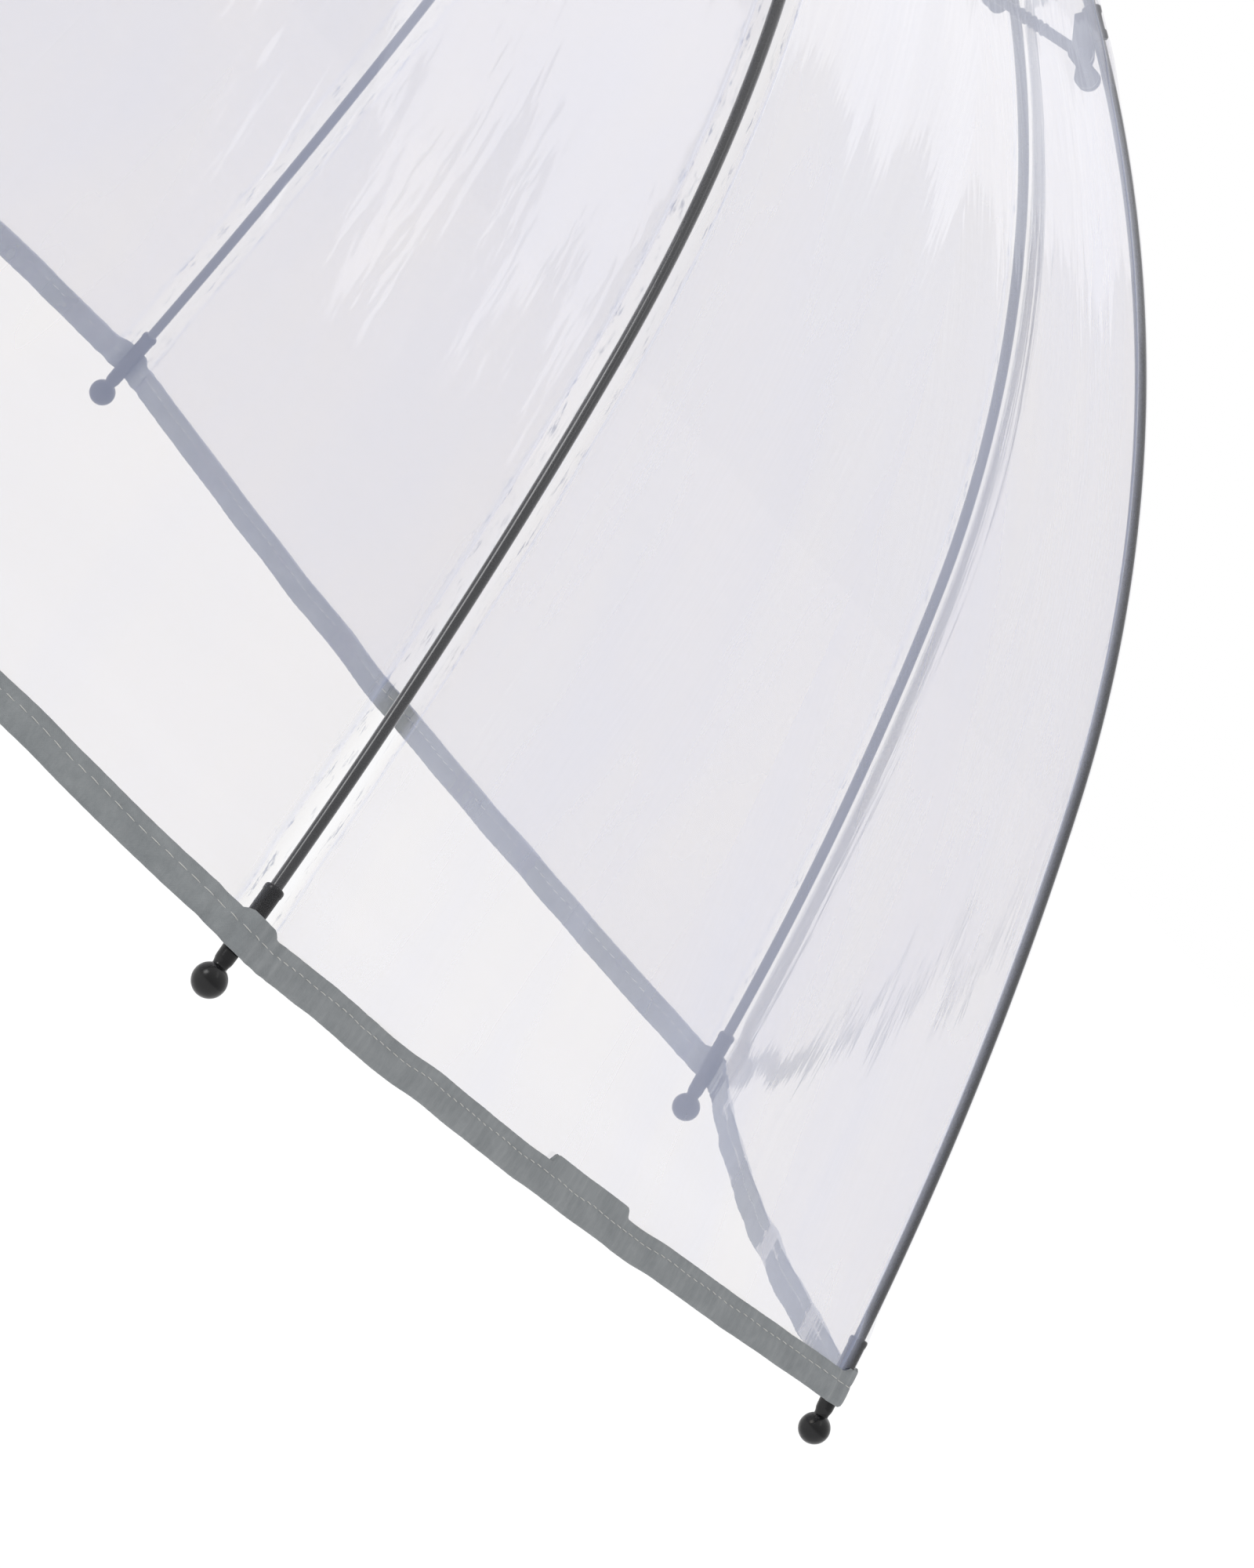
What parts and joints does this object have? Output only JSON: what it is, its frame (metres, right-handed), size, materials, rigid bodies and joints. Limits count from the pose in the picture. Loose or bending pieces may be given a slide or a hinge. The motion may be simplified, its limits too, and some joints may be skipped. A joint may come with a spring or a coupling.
{
  "type": "bubble umbrella",
  "caption": "Clear dome umbrella with a folding rib frame, film canopy with a taped hem, ball-ended rib tips, sliding runner and crook handle.",
  "frame": {"origin": "on the shaft's axis in the middle of the grip, where the hand holds it", "axes": "+Z along the shaft from the handle to the ferrule; the crook's bend goes towards +X, in the plane of the two catches; the first rib is 22.5 degrees from +X towards +Y"},
  "size_m": [0.7894, 0.7894, 0.8502],
  "materials": {
    "clear_film": "clear glossy film",
    "grey_tape": "matt folded tape",
    "rib_rod": "gloss black glass fibre rod",
    "stretcher_rod": "black painted steel",
    "tip_plastic": "gloss moulded",
    "clip_plastic": "moulded, satin",
    "black_plastic": "moulded, satin gloss",
    "handle_plastic": "moulded, gloss",
    "steel_shaft": "bright plated tube",
    "wire": "drawn wire and spring steel"
  },
  "bodies": {
    "root": {"shaft": "steel_shaft", "crown": "black_plastic", "crown_ring": "wire", "film_washer": "clip_plastic", "canopy": "clear_film", "hem_tape": "grey_tape", "top_cap": "black_plastic", "ferrule": "black_plastic", "handle": "handle_plastic", "handle_collar": "wire"},
    "runner": {"runner": "black_plastic", "runner_ring": "wire"},
    "top_catch": {"top_catch": "wire"},
    "bottom_catch": {"bottom_catch": "wire"},
    "rib_1": {"rib_upper_1": "rib_rod", "clip_1": "clip_plastic"},
    "rib_lower_1": {"rib_lower_1": "rib_rod", "tip_1": "tip_plastic"},
    "stretcher_1": {"stretcher_1": "stretcher_rod"},
    "rib_2": {"rib_upper_2": "rib_rod", "clip_2": "clip_plastic"},
    "rib_lower_2": {"rib_lower_2": "rib_rod", "tip_2": "tip_plastic"},
    "stretcher_2": {"stretcher_2": "stretcher_rod"},
    "rib_3": {"rib_upper_3": "rib_rod", "clip_3": "clip_plastic"},
    "rib_lower_3": {"rib_lower_3": "rib_rod", "tip_3": "tip_plastic"},
    "stretcher_3": {"stretcher_3": "stretcher_rod"},
    "rib_4": {"rib_upper_4": "rib_rod", "clip_4": "clip_plastic"},
    "rib_lower_4": {"rib_lower_4": "rib_rod", "tip_4": "tip_plastic"},
    "stretcher_4": {"stretcher_4": "stretcher_rod"},
    "rib_5": {"rib_upper_5": "rib_rod", "clip_5": "clip_plastic"},
    "rib_lower_5": {"rib_lower_5": "rib_rod", "tip_5": "tip_plastic"},
    "stretcher_5": {"stretcher_5": "stretcher_rod"},
    "rib_6": {"rib_upper_6": "rib_rod", "clip_6": "clip_plastic"},
    "rib_lower_6": {"rib_lower_6": "rib_rod", "tip_6": "tip_plastic"},
    "stretcher_6": {"stretcher_6": "stretcher_rod"},
    "rib_7": {"rib_upper_7": "rib_rod", "clip_7": "clip_plastic"},
    "rib_lower_7": {"rib_lower_7": "rib_rod", "tip_7": "tip_plastic"},
    "stretcher_7": {"stretcher_7": "stretcher_rod"},
    "rib_8": {"rib_upper_8": "rib_rod", "clip_8": "clip_plastic"},
    "rib_lower_8": {"rib_lower_8": "rib_rod", "tip_8": "tip_plastic"},
    "stretcher_8": {"stretcher_8": "stretcher_rod"}
  },
  "joints": [
    {"name": "runner_slide", "type": "slide", "parent": "root", "child": "runner", "axis": [0, 0, 1], "range_m": [-0.30315, 0], "deforming": ["canopy", "hem_tape"]},
    {"name": "top_catch_press", "type": "slide", "parent": "root", "child": "top_catch", "axis": [-1, 0, 0], "range_m": [0, 0.0015], "stiffness_N_per_m": 800},
    {"name": "bottom_catch_press", "type": "slide", "parent": "root", "child": "bottom_catch", "axis": [-1, 0, 0], "range_m": [0, 0.0015], "stiffness_N_per_m": 800},
    {"name": "rib_hinge_1", "type": "hinge", "parent": "root", "child": "rib_1", "pos_m": [0.01063, 0.0044, 0.712], "axis": [-0.3827, 0.9239, 0], "range_deg": [0, 66.79]},
    {"name": "rib_flex_1", "type": "hinge", "parent": "rib_1", "child": "rib_lower_1", "pos_m": [0.20325, 0.08419, 0.63508], "axis": [-0.3827, 0.9239, 0], "range_deg": [-36.53, 0]},
    {"name": "stretcher_hinge_1", "type": "hinge", "parent": "rib_1", "child": "stretcher_1", "pos_m": [0.20104, 0.08328, 0.63069], "axis": [-0.3827, 0.9239, 0], "range_deg": [-141.74, 0]},
    {"name": "rib_hinge_2", "type": "hinge", "parent": "root", "child": "rib_2", "pos_m": [0.0044, 0.01063, 0.712], "axis": [-0.9239, 0.3827, 0], "range_deg": [0, 66.79]},
    {"name": "rib_flex_2", "type": "hinge", "parent": "rib_2", "child": "rib_lower_2", "pos_m": [0.08419, 0.20325, 0.63508], "axis": [-0.9239, 0.3827, 0], "range_deg": [-36.53, 0]},
    {"name": "stretcher_hinge_2", "type": "hinge", "parent": "rib_2", "child": "stretcher_2", "pos_m": [0.08328, 0.20104, 0.63069], "axis": [-0.9239, 0.3827, 0], "range_deg": [-141.74, 0]},
    {"name": "rib_hinge_3", "type": "hinge", "parent": "root", "child": "rib_3", "pos_m": [-0.0044, 0.01063, 0.712], "axis": [-0.9239, -0.3827, 0], "range_deg": [0, 66.79]},
    {"name": "rib_flex_3", "type": "hinge", "parent": "rib_3", "child": "rib_lower_3", "pos_m": [-0.08419, 0.20325, 0.63508], "axis": [-0.9239, -0.3827, 0], "range_deg": [-36.53, 0]},
    {"name": "stretcher_hinge_3", "type": "hinge", "parent": "rib_3", "child": "stretcher_3", "pos_m": [-0.08328, 0.20104, 0.63069], "axis": [-0.9239, -0.3827, 0], "range_deg": [-141.74, 0]},
    {"name": "rib_hinge_4", "type": "hinge", "parent": "root", "child": "rib_4", "pos_m": [-0.01063, 0.0044, 0.712], "axis": [-0.3827, -0.9239, 0], "range_deg": [0, 66.79]},
    {"name": "rib_flex_4", "type": "hinge", "parent": "rib_4", "child": "rib_lower_4", "pos_m": [-0.20325, 0.08419, 0.63508], "axis": [-0.3827, -0.9239, 0], "range_deg": [-36.53, 0]},
    {"name": "stretcher_hinge_4", "type": "hinge", "parent": "rib_4", "child": "stretcher_4", "pos_m": [-0.20104, 0.08328, 0.63069], "axis": [-0.3827, -0.9239, 0], "range_deg": [-141.74, 0]},
    {"name": "rib_hinge_5", "type": "hinge", "parent": "root", "child": "rib_5", "pos_m": [-0.01063, -0.0044, 0.712], "axis": [0.3827, -0.9239, 0], "range_deg": [0, 66.79]},
    {"name": "rib_flex_5", "type": "hinge", "parent": "rib_5", "child": "rib_lower_5", "pos_m": [-0.20325, -0.08419, 0.63508], "axis": [0.3827, -0.9239, 0], "range_deg": [-36.53, 0]},
    {"name": "stretcher_hinge_5", "type": "hinge", "parent": "rib_5", "child": "stretcher_5", "pos_m": [-0.20104, -0.08328, 0.63069], "axis": [0.3827, -0.9239, 0], "range_deg": [-141.74, 0]},
    {"name": "rib_hinge_6", "type": "hinge", "parent": "root", "child": "rib_6", "pos_m": [-0.0044, -0.01063, 0.712], "axis": [0.9239, -0.3827, 0], "range_deg": [0, 66.79]},
    {"name": "rib_flex_6", "type": "hinge", "parent": "rib_6", "child": "rib_lower_6", "pos_m": [-0.08419, -0.20325, 0.63508], "axis": [0.9239, -0.3827, 0], "range_deg": [-36.53, 0]},
    {"name": "stretcher_hinge_6", "type": "hinge", "parent": "rib_6", "child": "stretcher_6", "pos_m": [-0.08328, -0.20104, 0.63069], "axis": [0.9239, -0.3827, 0], "range_deg": [-141.74, 0]},
    {"name": "rib_hinge_7", "type": "hinge", "parent": "root", "child": "rib_7", "pos_m": [0.0044, -0.01063, 0.712], "axis": [0.9239, 0.3827, 0], "range_deg": [0, 66.79]},
    {"name": "rib_flex_7", "type": "hinge", "parent": "rib_7", "child": "rib_lower_7", "pos_m": [0.08419, -0.20325, 0.63508], "axis": [0.9239, 0.3827, 0], "range_deg": [-36.53, 0]},
    {"name": "stretcher_hinge_7", "type": "hinge", "parent": "rib_7", "child": "stretcher_7", "pos_m": [0.08328, -0.20104, 0.63069], "axis": [0.9239, 0.3827, 0], "range_deg": [-141.74, 0]},
    {"name": "rib_hinge_8", "type": "hinge", "parent": "root", "child": "rib_8", "pos_m": [0.01063, -0.0044, 0.712], "axis": [0.3827, 0.9239, 0], "range_deg": [0, 66.79]},
    {"name": "rib_flex_8", "type": "hinge", "parent": "rib_8", "child": "rib_lower_8", "pos_m": [0.20325, -0.08419, 0.63508], "axis": [0.3827, 0.9239, 0], "range_deg": [-36.53, 0]},
    {"name": "stretcher_hinge_8", "type": "hinge", "parent": "rib_8", "child": "stretcher_8", "pos_m": [0.20104, -0.08328, 0.63069], "axis": [0.3827, 0.9239, 0], "range_deg": [-141.74, 0]}
  ],
  "couplings": [
    {"joint": "rib_hinge_1", "follows": "runner_slide", "rad_per_m": -3.8453},
    {"joint": "rib_flex_1", "follows": "runner_slide", "rad_per_m": 2.103},
    {"joint": "stretcher_hinge_1", "follows": "runner_slide", "rad_per_m": 8.1604},
    {"joint": "rib_hinge_2", "follows": "runner_slide", "rad_per_m": -3.8453},
    {"joint": "rib_flex_2", "follows": "runner_slide", "rad_per_m": 2.103},
    {"joint": "stretcher_hinge_2", "follows": "runner_slide", "rad_per_m": 8.1604},
    {"joint": "rib_hinge_3", "follows": "runner_slide", "rad_per_m": -3.8453},
    {"joint": "rib_flex_3", "follows": "runner_slide", "rad_per_m": 2.103},
    {"joint": "stretcher_hinge_3", "follows": "runner_slide", "rad_per_m": 8.1604},
    {"joint": "rib_hinge_4", "follows": "runner_slide", "rad_per_m": -3.8453},
    {"joint": "rib_flex_4", "follows": "runner_slide", "rad_per_m": 2.103},
    {"joint": "stretcher_hinge_4", "follows": "runner_slide", "rad_per_m": 8.1604},
    {"joint": "rib_hinge_5", "follows": "runner_slide", "rad_per_m": -3.8453},
    {"joint": "rib_flex_5", "follows": "runner_slide", "rad_per_m": 2.103},
    {"joint": "stretcher_hinge_5", "follows": "runner_slide", "rad_per_m": 8.1604},
    {"joint": "rib_hinge_6", "follows": "runner_slide", "rad_per_m": -3.8453},
    {"joint": "rib_flex_6", "follows": "runner_slide", "rad_per_m": 2.103},
    {"joint": "stretcher_hinge_6", "follows": "runner_slide", "rad_per_m": 8.1604},
    {"joint": "rib_hinge_7", "follows": "runner_slide", "rad_per_m": -3.8453},
    {"joint": "rib_flex_7", "follows": "runner_slide", "rad_per_m": 2.103},
    {"joint": "stretcher_hinge_7", "follows": "runner_slide", "rad_per_m": 8.1604},
    {"joint": "rib_hinge_8", "follows": "runner_slide", "rad_per_m": -3.8453},
    {"joint": "rib_flex_8", "follows": "runner_slide", "rad_per_m": 2.103},
    {"joint": "stretcher_hinge_8", "follows": "runner_slide", "rad_per_m": 8.1604}
  ]
}
